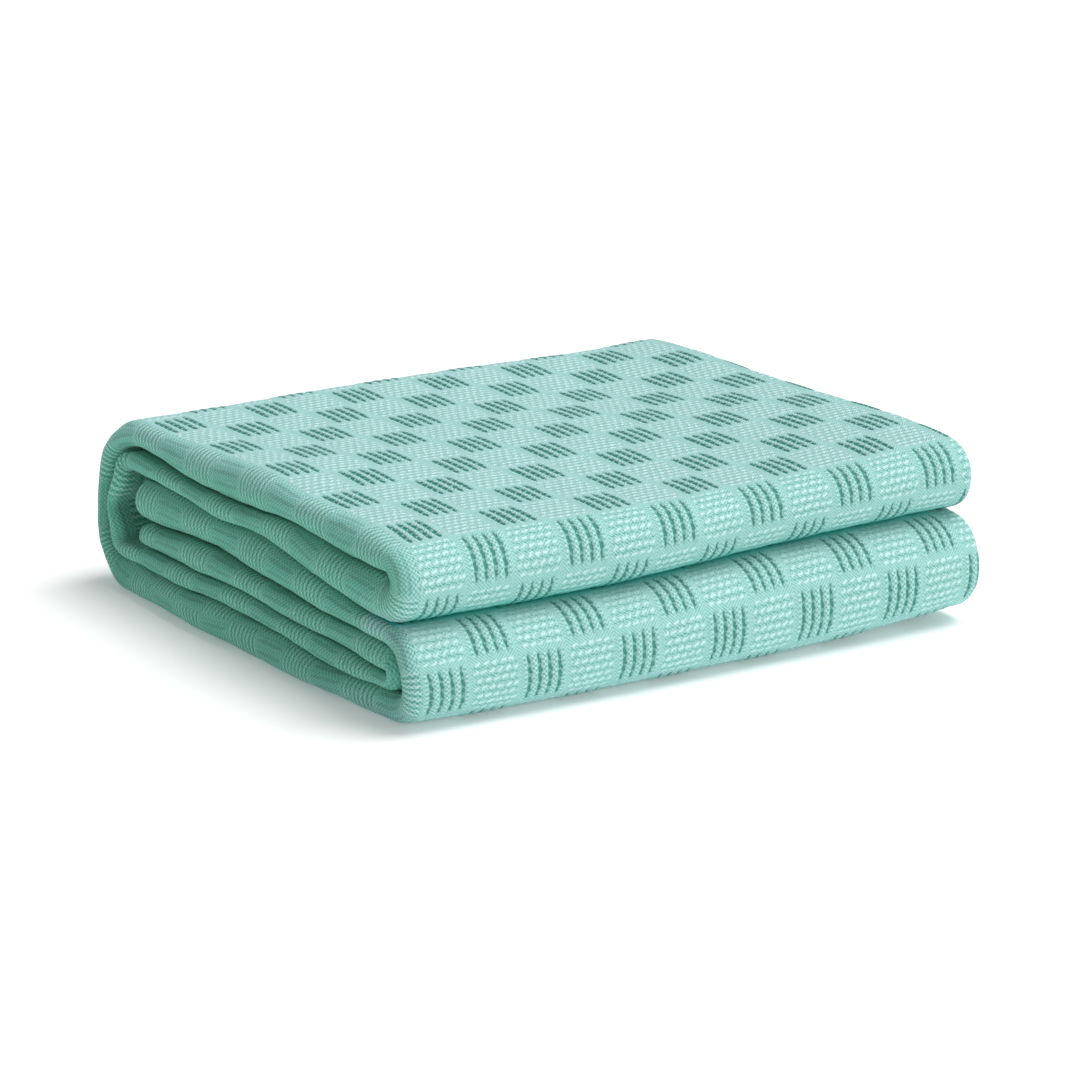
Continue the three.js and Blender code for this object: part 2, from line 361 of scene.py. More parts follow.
def relief(widths, place):
    """Height of the cloth's outer face above its smooth shape, in mm."""
    across = (widths - LEFT_CHECK_X) / CHECK_ACROSS
    along = place / CHECK_ALONG
    column, row = np.round(across), round(along)
    s, t = across - column, along - row
    is_open = (column + row) % 2 == 0
    on_roll = across < ROLL_EDGE
    puff = PUFF_HEIGHT * np.cos(math.pi * s) * math.cos(math.pi * t)
    knuckle = np.where(is_open, 0.0, KNUCKLE_HEIGHT) * math.cos(math.pi * t)
    puff = np.where(on_roll, knuckle, puff)
    slit_place = s * COLUMNS_A_CHECK / SLITS
    in_slit = np.clip(1 - np.abs(slit_place % 1 - 0.5) / SLIT_HALF, 0, 1)
    on_rib = np.cos(math.pi * slit_place) ** 2
    in_block = (np.abs(slit_place) < SLITS / 2 + 0.1) * is_open
    fade = min(1, max(0, (0.5 - abs(t)) * FADE)) * np.where(on_roll, PULLED_SHUT, 1.0)
    return puff + in_block * fade * (RIB_HEIGHT * on_rib - SLIT_DEPTH * in_slit)


print("relief at a slit:", round(float(relief(np.array([LEFT_CHECK_X + 2 * column_step]), 0.0)[0]), 2), "mm")

# %% [markdown]
# ## Settling
# No stack of cloth is flat. A few wide humps and hollows lift or lower it, most at the top and not at
# all at the floor. The two front folds wander in and out, and the crease between them sways. The lower fold
# swells in the middle, is drawn in at its ends, and turns up a little at its right end.

# %% Humps, hollows and front folds
HUMPS = [
    dict(x=165, y=-125, reach=75, rise=6.0),
    dict(x=-170, y=-30, reach=60, rise=3.5),
    dict(x=100, y=50, reach=60, rise=-2.5),
    dict(x=140, y=160, reach=60, rise=-2.5),
    dict(x=-130, y=165, reach=60, rise=-1.5),
    dict(x=0, y=-110, reach=70, rise=-1.5),
    dict(x=185, y=70, reach=75, rise=4.5),
    dict(x=150, y=-40, reach=60, rise=1.5),
]
FRONT_EDGE, FRONT_EASE = -60, 50
CREASE_TILT, CREASE_ARCH, CREASE_SWAY = 1.5, 2, 2.2
BELLY = 3
CORNER, CORNER_SHARPNESS = 4, 6
FRONT_WAVE, FRONT_WAVE_LENGTH = 1.2, 150
TOE_LIFT, TOE_START, TOE_END = 5.0, 50, 155    # how the lower fold's right end turns up
TOE_EDGE, TOE_EASE = -135, 22
MIDDLE_X, MIDDLE_Y = -6.5232, -8.8371    # middle of the finished stack, in the tables' x and y


def in_front_of(y, edge, ease):
    """1 in front of the edge, 0 behind it, and an easy slope between."""
    return 0.5 - 0.5 * np.tanh((y - edge) / ease)


def settle(x, y, z):
    level = z / HEIGHT
    across = 2 * x / WIDTH
    lift = 0
    for hump in HUMPS:
        away = (x - hump["x"]) ** 2 + (y - hump["y"]) ** 2
        lift = lift + hump["rise"] * np.exp(-away / hump["reach"] ** 2)
    near_front = in_front_of(y, FRONT_EDGE, FRONT_EASE)
    mid_height = np.sin(math.pi * np.clip(level, 0, 1))
    sway = CREASE_SWAY * np.sin(math.pi * across)
    crease = (CREASE_TILT * across + CREASE_ARCH * (1 - across ** 2) + sway) * mid_height
    swell = BELLY * (1 - level) * (1 - across ** 2)
    drawn = CORNER * (1 - level) * np.minimum(1, across ** CORNER_SHARPNESS)
    wave = FRONT_WAVE * level * np.sin(2 * math.pi * x / FRONT_WAVE_LENGTH)
    toe = TOE_LIFT * np.clip((x - TOE_START) / (TOE_END - TOE_START), 0, 1) ** 1.5
    toe = toe * (1 - np.clip(level, 0, 1)) ** 2 * in_front_of(y, TOE_EDGE, TOE_EASE)
    settled_y = y + near_front * (drawn + wave - swell)
    settled_z = z + level * lift + near_front * crease + toe
    return x, settled_y, np.maximum(0, settled_z)


print("the humps lift the stack by up to", max(h["rise"] for h in HUMPS), "mm")

# %% [markdown]
# The rolls at the left end are lumpier than the rest, because nobody tucks them in. We move all the
# cloth there by a few long waves that overlap. A long wave moves neighbouring plies together, so it doesn't
# push one ply through the next. The ply round the back hangs loose inside the outer one, so it gets waves
# of its own.

# %% Lumps of the rolls
# each wave has its lengths along y and z and a phase, and then how far it moves the cloth in x, y and z
LUMPS = [
    dict(y=171, z=46, phase=0.3, move=(0.7, 0.3, 0.35)),
    dict(y=97, z=29, phase=1.9, move=(0.4, 0.3, 0.3)),
    dict(y=131, z=-61, phase=4.0, move=(0.4, 0.0, 0.45)),
    dict(y=-43, z=13, phase=2.6, move=(0.06, 0.2, 0.08)),
    dict(y=23, z=11, phase=5.1, move=(0.05, 0.0, 0.07)),
]
LUMP_END, LUMP_REACH = -175, 45
FLOOR_HOLD = 6                       # mm; below this height the floor keeps the cloth from moving up or down
LOOSE = dict(y=139, z=47, reach_y=10, reach_z=28, wave=27, crest=60, move=9.0)


def add_lumps(x, y, z):
    near_end = np.exp(-np.clip(x - LUMP_END, 0, None) ** 2 / LUMP_REACH ** 2)
    off_floor = 1 - np.exp(-np.clip(z, 0, None) / FLOOR_HOLD)
    moved = [x, y, z]
    for lump in LUMPS:
        wave = np.sin(2 * math.pi * (y / lump["y"] + z / lump["z"]) + lump["phase"]) * near_end
        moved = [value + move * wave for value, move in zip(moved, lump["move"])]
    away_y = (y - LOOSE["y"]) / LOOSE["reach_y"]
    away_z = (z - LOOSE["z"]) / LOOSE["reach_z"]
    near_loose = np.exp(-away_y ** 2 - away_z ** 2)
    ripple = 0.5 + 0.5 * np.cos(2 * math.pi * (z - LOOSE["crest"]) / LOOSE["wave"])
    loose_move = LOOSE["move"] * near_loose * near_end * ripple
    return moved[0], moved[1] - loose_move, z + (moved[2] - z) * off_floor


print(len(LUMPS), "waves make the lumps")

# %% [markdown]
# ## Knotting the net
# Each row of the net is one closed line round the cloth: along its outer face from hem to hem, round the
# hem, back along its inner face, and round the other hem. The inner face is seen by nobody, so it gets
# few knots. Each knot keeps a key, its column number, and its width and length on the cloth.

# %% Lay the rows
HEM_ROUND = 0.35 * CLOTH
HIDDEN_RELIEF = 0.2                  # mm; in the hidden runs only cloth that looks left, on a roll, has more


def columns_of(fine):
    middle = list(MIDDLE_COLUMNS)[::1 if fine else 8]
    right = list(RIGHT_COLUMNS)[::1 if fine else 2]
    return list(LEFT_COLUMNS) + middle + right + [LAST_COLUMN]


def face_columns(marks, columns, drift):
    """Keys and widths of the knots along one face, hem to hem."""
    widths = [LEFT_CHECK_X - drift + column * column_step for column in columns]
    parts = np.arange(HIDDEN_STEPS) / HIDDEN_STEPS
    before = marks[0] + (widths[0] - marks[0]) * parts
    second = widths[-1] + (marks[5] - widths[-1]) * (parts + 1 / HIDDEN_STEPS)
    small_bend = marks[5] + (marks[6] - marks[5]) * np.arange(1, BEND_STEPS + 1) / BEND_STEPS
    third = marks[6] + (marks[7] - marks[6]) * (parts + 1 / HIDDEN_STEPS)
    after = np.concatenate([second, small_bend, third])
    keys = list(range(-HIDDEN_STEPS, 0)) + [column - FIRST_COLUMN for column in columns]
    keys += list(range(keys[-1] + 1, keys[-1] + 1 + len(after)))
    return keys, np.concatenate([before, widths, after])


def in_the_stack(x, o, here, go_y, go_z):
    """Where points of one cross-section of the strip end up in the stack."""
    y, z = here["y"] + o * go_z, here["z"] - o * go_y
    return np.stack(settle(*add_lumps(x, y, z)), axis=1)


inner_columns = list(LEFT_COLUMNS)[::4] + list(MIDDLE_COLUMNS)[::27] + list(RIGHT_COLUMNS)[::6]
inner_columns.append(LAST_COLUMN)
points, cloth_places, on_inside, net = [], [], [], []
for place, fine in rows:
    here = {key: float(np.interp(place, length, strip[key])) for key in KEYS}
    stretch = math.hypot(here["go_y"], here["go_z"])
    go_y, go_z = here["go_y"] / stretch, here["go_z"] / stretch
    section = section_marks(here["thick"], here["left"], here["right"])
    drift = drift_at(place)
    row = []
    for side, columns in ((1, columns_of(fine)), (-1, inner_columns)):
        keys, widths = face_columns(section[-1], columns, drift)
        x, o, face_x, face_o = section_points(widths, *section)
        proud = np.full(len(x), side * CLOTH / 2)
        if side == 1:
            raised = relief(widths + drift, place)
            raised[:HIDDEN_STEPS] = 0
            raised[keys.index(LAST_COLUMN - FIRST_COLUMN):] = 0
            if not fine:
                raised[len(LEFT_COLUMNS) + HIDDEN_STEPS:] = 0
                raised = np.minimum(raised, HIDDEN_RELIEF + np.clip(-face_x, 0, 1))
            proud = proud + raised
        x, o = x + face_x * proud, o + face_o * proud
        knots = in_the_stack(x, o, here, go_y, go_z)
        numbers = list(range(len(points), len(points) + len(knots)))
        points.extend(knots)
        cloth_places.extend((width + drift, place) for width in widths)
        on_inside.extend([side == -1] * len(knots))
        row.append(list(zip(keys, numbers)))
    for end in (0, -1):
        x, o, face_x, face_o = section_points(np.array([section[-1][end]]), *section)
        tip = in_the_stack(x + HEM_ROUND, o, here, go_y, go_z)
        row.append(len(points))
        points.extend(tip)
        cloth_places.append((section[-1][end] + drift, place))
        on_inside.append(False)
    net.append(row)
print("the net has", len(points), "knots")

# %% [markdown]
# ## Sewing the rows together
# Two neighbouring rows don't always have the same columns. So we walk along both at once, and always
# take the next step on the row whose next knot comes first. Where both have a knot at the same column
# the step makes a square, and elsewhere it makes a triangle.

# %% Sew
faces = []


def sew(first, second, flip=False):
    """Fill the gap between two rows of (key, knot) with faces."""
    i = j = 0
    while i + 1 < len(first) or j + 1 < len(second):
        next_i = first[i + 1][0] if i + 1 < len(first) else math.inf
        next_j = second[j + 1][0] if j + 1 < len(second) else math.inf
        a, b = first[i][1], second[j][1]
        if next_i == next_j:
            i, j = i + 1, j + 1
            face = [a, b, second[j][1], first[i][1]]
        elif next_i < next_j:
            i += 1
            face = [a, b, first[i][1]]
        else:
            j += 1
            face = [a, b, second[j][1]]
        faces.append(face[::-1] if flip else face)


for (outer, inner, tip, other_tip), (outer2, inner2, tip2, other_tip2) in zip(net, net[1:]):
    sew(outer, outer2)
    sew(inner, inner2, flip=True)
    faces.append([outer[-1][1], outer2[-1][1], other_tip2, other_tip])
    faces.append([other_tip, other_tip2, inner2[-1][1], inner[-1][1]])
    faces.append([inner[0][1], inner2[0][1], tip2, tip])
    faces.append([tip, tip2, outer2[0][1], outer[0][1]])
for (outer, inner, tip, other_tip), flip in ((net[0], True), (net[-1], False)):
    sew(outer, inner, flip=flip)
    for face in ([tip, inner[0][1], outer[0][1]], [outer[-1][1], inner[-1][1], other_tip]):
        faces.append(face[::-1] if flip else face)
print("the net has", len(faces), "meshes, or", sum(len(face) - 2 for face in faces), "triangles")

# %% [markdown]
# ## From net to object
# The tables are in millimetres and have their own middle, and the frame is in metres with its middle under
# the stack. So all knots are moved and shrunk together, and then Blender gets the whole net at once.

# %% Make the object
points = (np.array(points) - np.array([MIDDLE_X, MIDDLE_Y, 0])) / 1000
mesh = bpy.data.meshes.new("gauze_blanket")
mesh.from_pydata(points.tolist(), [], faces)
mesh.shade_smooth()
blanket = bpy.data.objects.new("gauze_blanket", mesh)
bpy.context.scene.collection.objects.link(blanket)
print("mesh is sound:", not mesh.validate())

# %% [markdown]
# ## A map for the weave
# The pattern repeats, so a small sample card is enough to describe the whole cloth. Our card is eight
# checks wide and twelve tall. One corner of four by four checks shows the weave as it lies flat, the next
# as it looks stretched round the front folds, and a third holds the two strips that meet in the crease
# between those folds. Two columns show it rolled up tightly, as at the left end, and the last two show it
# tucked away inside the stack. Each face of the net is sent to its place on the card. Towards the right end
# the inner plies lie open to the daylight, so there they use the same samples as the top and the front. The
# inner face gets its checks in mirror image, as when you turn a real cloth over.

# %% Weave map
CARD_WIDE, CARD_TALL = 8, 12
SAMPLE = 4                           # checks across each sample of the flat and the stretched weave
CREASE_BASE = 2 * SAMPLE             # where the strips of the crease start on the card
STRIP = 2                            # checks from the start of one such strip to the next
ROLL_END = -2.5                      # the rolls are the columns of checks from here to ROLL_EDGE
TUCKED_PART = 6                      # checks from the card's left side to the tucked-in weave
PAST_RIGHT_END = 12.5                # columns past this one lie on the inner plies
TUCKED_END = 0.05                    # in metres; further right, daylight reaches the inner plies again
CREASE_END = 11.4                    # checks; the tight part of the crease stops short of the right end
UPPER_CREASE = (0.5, 2.5)            # the rows of checks that run into the crease from above
LOWER_CREASE = (-26.5, -24.5)        # and from below
FRONT_STARTS, FRONT_ENDS = 0.5, -20.0    # rows that are not between these two lie on the front folds

width_along = np.array(cloth_places)
check_column = (width_along[:, 0] - LEFT_CHECK_X) / CHECK_ACROSS
check_row = width_along[:, 1] / CHECK_ALONG
inside = np.array(on_inside)
knot = np.empty(len(mesh.loops), int)
mesh.loops.foreach_get("vertex_index", knot)
corner_count = np.empty(len(mesh.polygons), int)
mesh.polygons.foreach_get("loop_total", corner_count)
face_of = np.repeat(np.arange(len(corner_count)), corner_count)


def face_mean(values):
    return (np.bincount(face_of, weights=values) / corner_count)[face_of]


turned_over = face_mean(inside[knot]) == 1
column = np.where(turned_over, -check_column[knot], check_column[knot])
row = check_row[knot]
mean_column, mean_row = face_mean(column), face_mean(row)
# the rolls and the tucked-in plies get columns of their own on the card, which carry painted shade
on_roll = (mean_column < ROLL_EDGE) & (mean_column > ROLL_END) & ~turned_over
mean_x = face_mean(points[knot, 0])
outermost = (mean_row * CHECK_ALONG > fine_zones[0][0]) & (mean_row * CHECK_ALONG < fine_zones[-1][1])
tucked = turned_over | ~outermost | (mean_column <= ROLL_END) | (mean_column > PAST_RIGHT_END)
tucked = tucked & (mean_x < TUCKED_END)
on_front = ((mean_row > FRONT_STARTS) | (mean_row < FRONT_ENDS)) & ~on_roll
samples_left = SAMPLE * np.floor((mean_column + 0.5) / SAMPLE)
samples_down = SAMPLE * np.floor((mean_row + 0.5) / SAMPLE)
card_u = np.where(on_roll, column - ROLL_END + SAMPLE, column + 0.5 - samples_left)
pairs_left = 2 * np.floor((mean_column + 0.5) / 2)
card_u = np.where(tucked, column + 0.5 - pairs_left + TUCKED_PART, card_u)
card_v = row + 0.5 - samples_down + np.where(on_front, SAMPLE, 0)
# the two strips into the crease get rows of their own on the card, for their painted shade and painted light
beside_crease = ~turned_over & ~tucked & (mean_column > ROLL_EDGE) & (mean_column < CREASE_END)
above_crease = beside_crease & (mean_row > UPPER_CREASE[0]) & (mean_row < UPPER_CREASE[1])
below_crease = beside_crease & (mean_row > LOWER_CREASE[0]) & (mean_row < LOWER_CREASE[1])
one_further = column + 1.5 - SAMPLE * np.floor((mean_column + 1.5) / SAMPLE)
card_u = np.where(above_crease, one_further, card_u)
card_v = np.where(above_crease, row - UPPER_CREASE[0] + CREASE_BASE, card_v)
card_v = np.where(below_crease, row - LOWER_CREASE[0] + CREASE_BASE + STRIP, card_v)
weave_map = mesh.uv_layers.new(name="OFBake")
card = np.stack([card_u / CARD_WIDE, card_v / CARD_TALL], axis=1)
weave_map.data.foreach_set("uv", card.ravel())
print("share of the net on the rolls:", round(float(on_roll.mean()), 2))

# %% [markdown]
# ## Sums on sockets
# A procedural material is a long sum, and a long sum is easier to read as an expression than as a web of
# nodes. This small class holds one output of a node. Adding, multiplying and so on makes Math nodes, and
# `make` adds any other kind of node.

# %% A class for shader sums
class Wire:
    """One output of a node in a material, on which you can do sums."""

    def __init__(self, tree, socket=None):
        self.tree, self.socket = tree, socket

    def make(self, kind, settings, sockets, output=0):
        node = self.tree.nodes.new(kind)
        for name, value in settings.items():
            setattr(node, name, value)
        for name, value in sockets.items():
            if isinstance(value, Wire):
                self.tree.links.new(value.socket, node.inputs[name])
            else:
                node.inputs[name].default_value = value
        return Wire(self.tree, node.outputs[output] if node.outputs else None)

    def math(self, operation, *values):
        return self.make("ShaderNodeMath", {"operation": operation}, dict(enumerate(values)))

    def __add__(self, other):
        return self.math("ADD", self, other)

    def __sub__(self, other):
        return self.math("SUBTRACT", self, other)

    def __rsub__(self, other):
        return self.math("SUBTRACT", other, self)

    def __mul__(self, other):
        return self.math("MULTIPLY", self, other)

    def __mod__(self, other):
        return self.math("FLOORED_MODULO", self, other)

    def __abs__(self):
        return self.math("ABSOLUTE", self)

    def __lt__(self, other):
        return self.math("LESS_THAN", self, other)

    def __gt__(self, other):
        return self.math("GREATER_THAN", self, other)

    def floor(self):
        return self.math("FLOOR", self)

    def sine(self):
        return self.math("SINE", self)

    def cosine(self):
        return self.math("COSINE", self)

    def most(self, other):
        return self.math("MAXIMUM", self, other)

    def least(self, other):
        return self.math("MINIMUM", self, other)

    def between(self, start, end):
        """0 below start, 1 above end, and a soft step between them."""
        settings = {"interpolation_type": "SMOOTHSTEP"}
        return self.make("ShaderNodeMapRange", settings, {0: self, 1: start, 2: end, 3: 0.0, 4: 1.0})


def mix(factor, first, second, blend="MIX"):
    """Mix two colours; the Mix node keeps its colour sockets at these numbers."""
    return factor.make("ShaderNodeMix", {"data_type": "RGBA", "blend_type": blend},
                       {0: factor, 6: first, 7: second}, output=2)


def colour(red, green, blue):
    """A colour as you read it off a screen, from 0 to 255, in the linear numbers Blender works with."""
    parts = [part / 255 for part in (red, green, blue)]
    return tuple(p / 12.92 if p <= 0.04045 else ((p + 0.055) / 1.055) ** 2.4 for p in parts) + (1.0,)


print("mid grey 128 is", round(colour(128, 128, 128)[0], 3), "in linear numbers")

# %% [markdown]
# ## The gauze
# The cloth is woven from soft dyed cotton in one colour. What looks like a pattern is only structure:
# open slits that show the dark inside, ribs and short floats that catch the light, and a fine herringbone
# where one check meets the next. So we first work out where on its check each point lies, then give each
# kind of structure a mask from 0 to 1, and let the masks drive the bump, and the colour as painted
# highlights and painted shade.

# %% Where a point lies on its check
HAIRLINE = 0.02                      # keeps the border of one sample out of the next
FULL_WAVE = 2 * math.pi
gauze = bpy.data.materials.new("mint_cotton_gauze")
gauze.use_nodes = True
tree = gauze.node_tree
tree.nodes.clear()
start = Wire(tree)
map_place = start.make("ShaderNodeUVMap", {"uv_map": "OFBake"}, {})
checks_u = start.make("ShaderNodeSeparateXYZ", {}, {0: map_place}, output=0) * CARD_WIDE
checks_v = start.make("ShaderNodeSeparateXYZ", {}, {0: map_place}, output=1) * CARD_TALL
column, row = checks_u.floor(), checks_v.floor()
s, t = checks_u - column - 0.5, checks_v - row - 0.5
is_plain = (column + row) % 2.0
is_slit = 1.0 - is_plain
rolled = checks_u > SAMPLE + HAIRLINE
stretched = (checks_v > SAMPLE) * (1.0 - rolled)
flat = 1.0 - rolled
print("the card has", CARD_WIDE * CARD_TALL, "checks")

# %% [markdown]
# The dye is the same everywhere. But where cloth lies close to cloth, the light has passed through a few
# plies before it reaches you, and each of them takes out some red. Our net is lit as if it let no light
# through, so we paint that shade into the colour: we mark those places here and give them painted shade
# later: the rolls and the tucked-in plies, and the two strips that run into the crease. A roll takes up its
# painted shade slowly, from its border with the flat weave. The lower strip looks up at the sky, so its
# ground also gets a little painted light.

# %% Painted shade and light where cloth lies close to cloth
UPPER_TINT = (1.25, 1.8)             # checks along the upper strip between which the painted shade comes in
LOWER_TINT = (0.85, 1.2)             # and along the lower strip, between which the painted shade goes out
LOWER_PAINTED_LIGHT = (0.95, 1.9)            # between these the painted light on the ground goes out
ROLL_TINT = 0.7                      # checks round a roll until its painted shade is full
LEAST_TINT = 0.12                    # painted shade right at the border of a roll
lower_start = CREASE_BASE + STRIP
lower = checks_v > lower_start
into_upper = checks_v.between(CREASE_BASE + UPPER_TINT[0], CREASE_BASE + UPPER_TINT[1])
out_of_lower = 1.0 - checks_v.between(lower_start + LOWER_TINT[0], lower_start + LOWER_TINT[1])
# painted light on the ground of the lower strip just below the crease
painted_sky_light = 1.0 - checks_v.between(lower_start + LOWER_PAINTED_LIGHT[0], lower_start + LOWER_PAINTED_LIGHT[1])
# painted shade on the two strips that run into the crease
crease_painted_shade = (into_upper * (1.0 - lower) + out_of_lower * lower) * flat
painted_sky_light = painted_sky_light * lower * flat
# how much painted shade the rolls and the tucked-in plies get
round_roll = (TUCKED_PART - checks_u).between(0.0, ROLL_TINT)
roll_painted_shade = round_roll.most(checks_u > TUCKED_PART + HAIRLINE).most(LEAST_TINT)
print("the tint of a roll is full after", ROLL_TINT, "of a check")

# %% [markdown]
# Real yarn is uneven, but the pattern has to repeat without a seam. Walking round a circle brings you
# back to where you started, so we lay the sample on two circles, which takes four coordinates. Noise in
# four dimensions then repeats by itself.

# %% Unevenness that repeats
turn_u, turn_v = checks_u * (FULL_WAVE / SAMPLE), checks_v * (FULL_WAVE / SAMPLE)
ring_x, ring_y = turn_u.cosine(), turn_u.sine()
ring_z, ring_w = turn_v.cosine(), turn_v.sine()
on_rings = start.make("ShaderNodeCombineXYZ", {}, {0: ring_x, 1: ring_y, 2: ring_z})


def unevenness(scale, detail):
    return start.make("ShaderNodeTexNoise", {"noise_dimensions": "4D"},
                      {"Vector": on_rings, "W": ring_w, "Scale": scale, "Detail": detail, "Roughness": 0.6})


fuzz = unevenness(30.0, 2.0) - 0.5
wander = unevenness(9.0, 1.0) - 0.5
print("the unevenness repeats every", SAMPLE, "checks")

# %% [markdown]
# A slit is narrow, a little wavy, and crossed by a few threads. Between the slits stand the ribs, with
# short stitches along them. On the rolls the slits are pulled shut and show as faint streaks.

# %% Slits and ribs
BRIDGES = 6                          # threads that cross a slit
STITCHES = 12                        # along a rib
SHADE_HALF = 0.23                    # half the dark line of a slit, as a part of the way to the next
crossing = t * BRIDGES + wander
lean = (crossing % 1.0 - 0.5) * 0.10
slit_place = (s + wander * 0.04) * (COLUMNS_A_CHECK / SLITS) + lean
from_slit = abs(slit_place % 1.0 - 0.5) + fuzz * 0.10
slit_end = abs(t) + wander * 0.06
in_block = (abs(slit_place) < SLITS / 2) * (1.0 - slit_end.between(0.40, 0.47)) * is_slit
half_width = SHADE_HALF - stretched * 0.06 - rolled * 0.04 - abs(t).between(0.15, 0.5) * 0.08
slit = (1.0 - (from_slit - half_width).between(-0.07, 0.07)) * in_block
thread = (crossing * FULL_WAVE).cosine()
bridge = (0.0 - thread).between(0.35, 0.95) * slit
slit = slit * (1.0 - rolled * 0.72) - bridge * (0.66 - stretched * 0.1) * flat
rib = from_slit.between(0.22, 0.40) * in_block
stitch = ((t * STITCHES + slit_place.floor() * 0.5 + fuzz * 0.5) * FULL_WAVE).sine()
rib_stitch = stitch.between(-0.6, 0.6) * rib * flat
rib_dot = (0.0 - stitch).between(0.3, 1.0) * rib * flat
print("each open check has", SLITS, "slits")

# %% [markdown]
# The closed checks are covered with short floats, laid like bricks in seven courses, that get a painted
# highlight. Each float slants a little, and a tiny pit with painted shade lies between their ends. On the
# rolls we see the same yarns end on, as a comb of fine lines across the roll, with small grains of yarn
# between them; the comb and the grains get painted highlights, and the gaps between them painted shade.

# %% Floats and pits of the closed checks
COURSES = 7
FLOATS = 6
COMB_LINES = 8
GRAINS = 11                          # tiny knots of yarn along a check, on the rolls
course = t * COURSES + 0.5 + wander * 0.4 + fuzz * 0.3
brick = s * FLOATS + course.floor() % 2.0 * 0.5 + wander * 0.7 + fuzz * 0.4
beside = brick % 1.0 - 0.5
above = course % 1.0 - 0.5
across_float = abs(above + beside * 0.42)
inner_check = (1.0 - abs(t).between(0.43, 0.49)) * (1.0 - abs(s).between(0.42, 0.48)) * is_plain * flat
float_mask = (1.0 - across_float.between(0.08, 0.28)) * (1.0 - abs(beside).between(0.24, 0.44)) * inner_check
pit = abs(above).between(0.28, 0.46) * abs(beside).between(0.20, 0.42) * inner_check
rolled_check = is_plain * rolled * (1.0 - abs(t).between(0.44, 0.5))
comb_wave = ((t * COMB_LINES + wander * 0.5) * FULL_WAVE).sine()
comb = comb_wave.between(-0.1, 0.9) * rolled_check
gap = (0.0 - comb_wave).between(0.0, 1.0) * rolled_check
across_wave = ((s * GRAINS + fuzz * 0.7) * FULL_WAVE).sine()
along_wave = ((t * GRAINS + fuzz * 0.7) * FULL_WAVE).sine()
grain_wave = across_wave * along_wave
grain = grain_wave.between(0.0, 0.6) * rolled
grain_pit = (0.0 - grain_wave).between(0.1, 0.8) * rolled
print(COURSES * FLOATS, "floats in a closed check")

# %% [markdown]
# Everywhere else, and faintly under the rest, the ground is a fine herringbone: slanting lines that turn
# back at the border of each check. With that the surface is complete, so we add up how far each kind of
# yarn stands out. The bump needs that sum.

# %% Herringbone ground
LINES = 16
slant = abs(s) * LINES * 0.9 + t * LINES
herringbone = ((slant + fuzz * 0.6) * FULL_WAVE).sine() * 0.5 + 0.5
ground = (1.0 - slit) * (1.0 - float_mask) * (1.0 - rib)
height = herringbone * ground * 0.35 + float_mask * 0.9 + rib_stitch * 0.7 + comb * 0.8 - slit * 1.4
height = height - pit * 0.7 - gap * 0.5 + grain * 0.5 + fuzz * 0.6
print("the ground has", LINES, "slanting lines in a check")

# %% [markdown]
# Now the masks become colour. We start from the plain dyed ground, paint highlights onto the yarns that
# stand out, and then paint shade into the pits and slits. The painted shade of the rolls, the front folds
# and the crease works like a filter in front of what is there, so it is multiplied. Gauze has no gloss: it
# is rough, with the soft sheen of loose fibres.

# %% Finish of the gauze
BASE = colour(145, 201, 197)
# painted highlight of the yarns that stand out and catch the light
PAINTED_HIGHLIGHT = colour(212, 240, 241)
# painted shade in the tiny pits, gaps and grains between the yarns
PAINTED_PIT_SHADE = colour(58, 160, 144)
# painted shade in the open slits, where the dark inside of the stack shows
PAINTED_SLIT_SHADE = colour(14, 122, 104)
PAINTED_FRONT_SHADE = colour(246, 255, 252)        # painted shade: the front folds and the rolls are a touch greener
PAINTED_CREASE_SHADE = colour(60, 255, 247)       # painted shade: deep in the crease hardly any red is left
PAINTED_ROLL_SHADE = colour(196, 238, 218)       # painted shade: the rolls look deeper in colour
YARN_HEIGHT = 0.0007                 # metres that the finest yarns stand out

# painted highlight on floats, stitches, comb lines and grains
painted_yarn_highlight = float_mask + rib_stitch * 0.7 + comb * 0.75 + grain * 0.45
# painted shade in pits, stitch gaps, comb gaps and between grains
painted_shade_spots = pit * 0.65 + rib_dot * 0.45 + gap * 0.5 + grain_pit * 0.55
# painted highlight on the herringbone's slanting lines
shade = mix(herringbone * ground * 0.48, BASE, PAINTED_HIGHLIGHT)
# painted light: the lower fold's ground just below the crease is paler
shade = mix(painted_sky_light * 0.6, shade, PAINTED_HIGHLIGHT)
shade = mix(painted_yarn_highlight.least(1.0), shade, PAINTED_HIGHLIGHT)
shade = mix(painted_shade_spots.least(1.0), shade, PAINTED_PIT_SHADE)
# painted shade in the slits
shade = mix(slit * (0.95 - stretched * 0.22), shade, PAINTED_SLIT_SHADE)
# painted shade on the rolls and the tucked-in plies
shade = mix(rolled * roll_painted_shade, shade, PAINTED_ROLL_SHADE, blend="MULTIPLY")
# a touch of painted shade on the front folds and the rolls
shade = mix(stretched.most(rolled), shade, PAINTED_FRONT_SHADE, blend="MULTIPLY")
# painted shade in the crease between the front folds
shade = mix(crease_painted_shade, shade, PAINTED_CREASE_SHADE, blend="MULTIPLY")
bump = start.make("ShaderNodeBump", {}, {"Strength": 0.7, "Distance": YARN_HEIGHT, "Height": height})
finish = start.make("ShaderNodeBsdfPrincipled", {}, {
    "Base Color": shade, "Normal": bump, "Roughness": 0.92, "Specular IOR Level": 0.2,
    "Sheen Weight": 0.2, "Sheen Roughness": 0.5, "Sheen Tint": colour(214, 250, 244),
})
start.make("ShaderNodeOutputMaterial", {}, {"Surface": finish})
mesh.materials.append(gauze)
print("the gauze has", len(tree.nodes), "nodes")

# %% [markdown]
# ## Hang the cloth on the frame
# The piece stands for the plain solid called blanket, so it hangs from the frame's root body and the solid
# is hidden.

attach(blanket, "root")
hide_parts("blanket")

# %% [markdown]
# ## Floor
# The floor is a wide pale sheet, almost white, like studio paper on a light table: it glows a little, and
# that keeps the shadow on it faint.

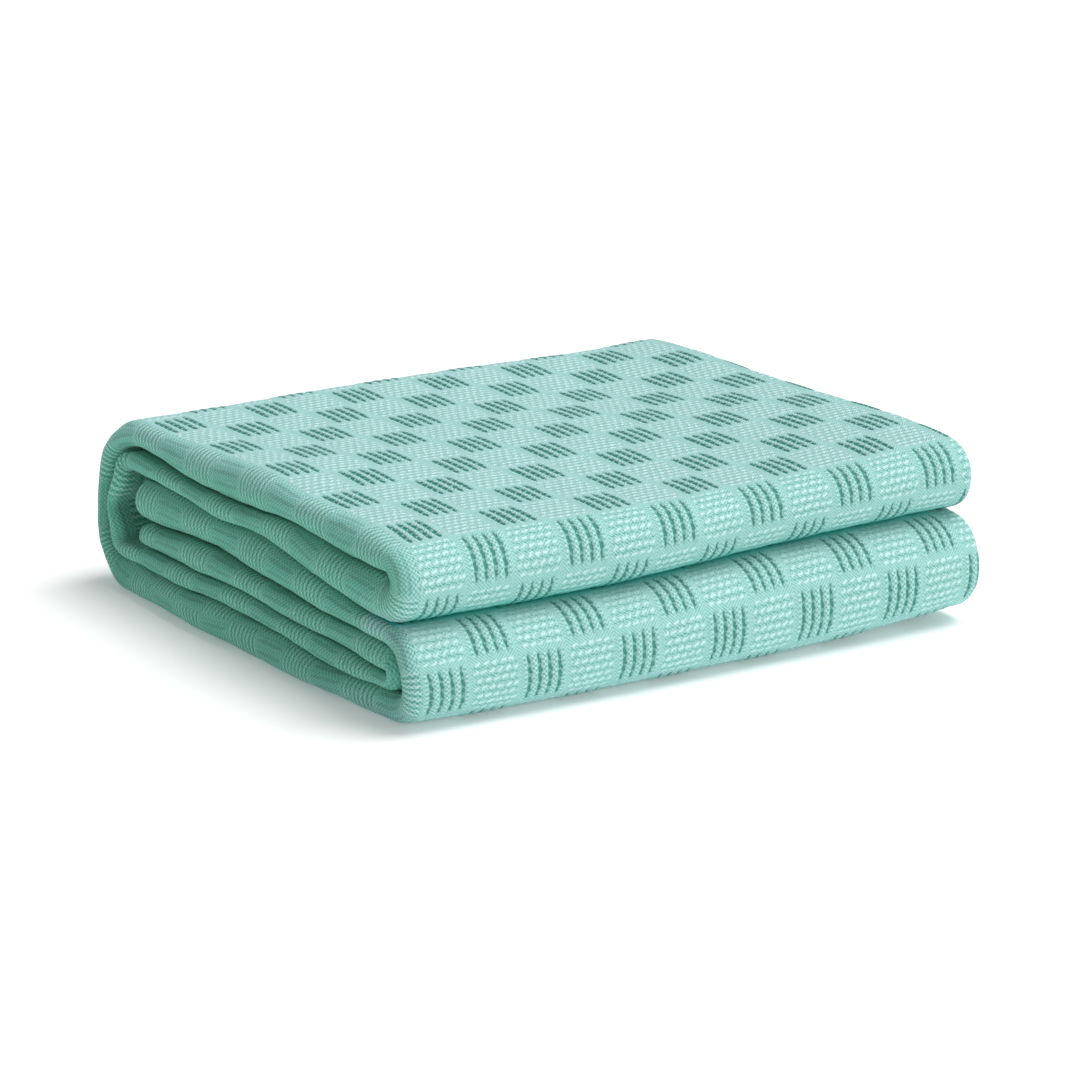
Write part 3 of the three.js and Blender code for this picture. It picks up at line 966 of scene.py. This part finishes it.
# %% Floor
floor_mesh = bpy.data.meshes.new("floor")
FLOOR_HALF = 6.0
square = ((-1, -1), (1, -1), (1, 1), (-1, 1))
floor_corners = [(FLOOR_HALF * across, FLOOR_HALF * along, 0) for across, along in square]
floor_mesh.from_pydata(floor_corners, [], [(0, 1, 2, 3)])
floor = bpy.data.objects.new("floor", floor_mesh)
bpy.context.scene.collection.objects.link(floor)
paper = bpy.data.materials.new("studio_paper")
paper.use_nodes = True
paper_shader = paper.node_tree.nodes["Principled BSDF"]
paper_shader.inputs["Base Color"].default_value = (0.93, 0.93, 0.93, 1)
paper_shader.inputs["Roughness"].default_value = 0.9
paper_shader.inputs["Specular IOR Level"].default_value = 0.1
paper_shader.inputs["Emission Color"].default_value = (1, 1, 1, 1)
paper_shader.inputs["Emission Strength"].default_value = 0.18
floor_mesh.materials.append(paper)
print("the floor is", 2 * FLOOR_HALF, "m wide")

# %% [markdown]
# ## Light
# The light comes through a big soft window above the stack and to the right, so the left end falls into a
# soft shade. A weak second one, low in front, reaches into the crease between the two front folds, and an
# even white sky keeps the rest open.
# We also ask for plain screen colours. Blender's usual film look makes bright colours pale and greys the
# white paper, and a catalogue picture does neither.

# %% Light
# each window has its direction from the stack, its strength, and its softness in degrees
WINDOWS = [
    dict(name="big_soft_window", towards=(0.45, -0.1, 1.0), strength=2.6, softness=45),
    dict(name="low_front_fill", towards=(0.45, -1.0, 0.12), strength=1.15, softness=60),
]
for window in WINDOWS:
    light_data = bpy.data.lights.new(window["name"], "SUN")
    light_data.energy = window["strength"]
    light_data.angle = math.radians(window["softness"])
    light = bpy.data.objects.new(window["name"], light_data)
    bpy.context.scene.collection.objects.link(light)
    light.rotation_euler = Vector(window["towards"]).to_track_quat("Z", "Y").to_euler()
sky = bpy.data.worlds.new("studio_sky")
sky.use_nodes = True
sky.node_tree.nodes["Background"].inputs["Color"].default_value = (1, 1, 1, 1)
sky.node_tree.nodes["Background"].inputs["Strength"].default_value = 0.30
bpy.context.scene.world = sky
bpy.context.scene.view_settings.view_transform = "Standard"
print(len(WINDOWS), "soft windows and a white sky")
